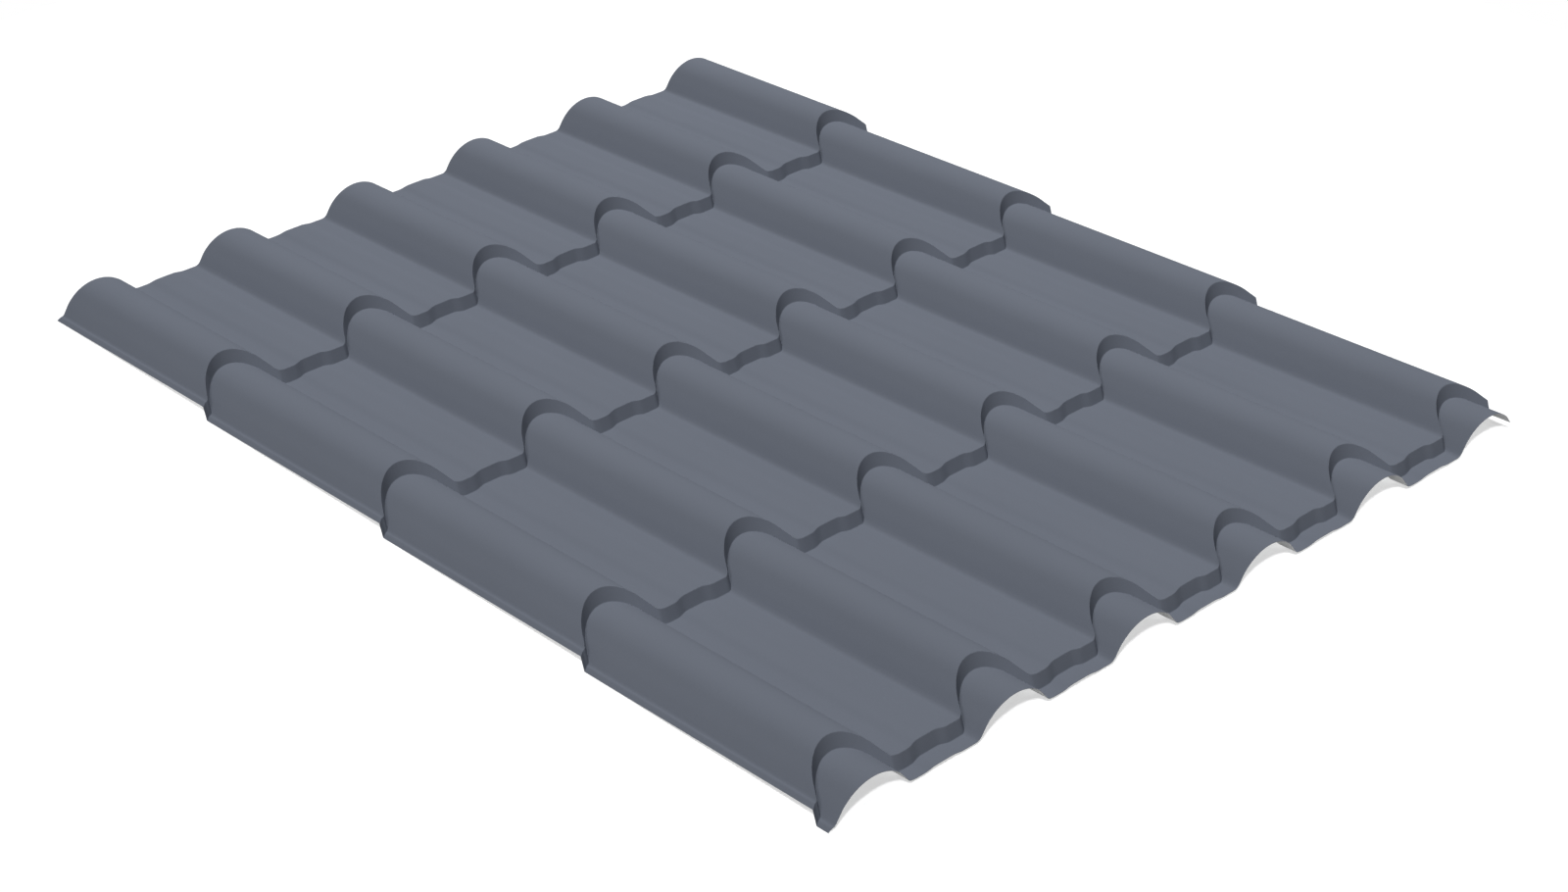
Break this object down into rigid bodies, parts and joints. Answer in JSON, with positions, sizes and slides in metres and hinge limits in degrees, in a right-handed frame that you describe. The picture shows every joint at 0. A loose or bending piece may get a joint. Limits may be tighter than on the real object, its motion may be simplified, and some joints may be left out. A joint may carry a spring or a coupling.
{
  "type": "metal roof tile sheet",
  "caption": "Pressed steel roof tile sheet with round waves, flat ribbed pans and stamped steps, a turned-down flange along one side, lying flat.",
  "frame": {"origin": "centre of the sheet's footprint on the floor", "axes": "+X across the waves, away from the turned-down flange; +Y up the roof, from eave edge to ridge edge; +Z away from the roof"},
  "size_m": [1.106, 1.4024, 0.0521],
  "materials": {
    "coated_steel": "matte"
  },
  "bodies": {
    "root": {"tile_sheet": "coated_steel"}
  },
  "joints": []
}
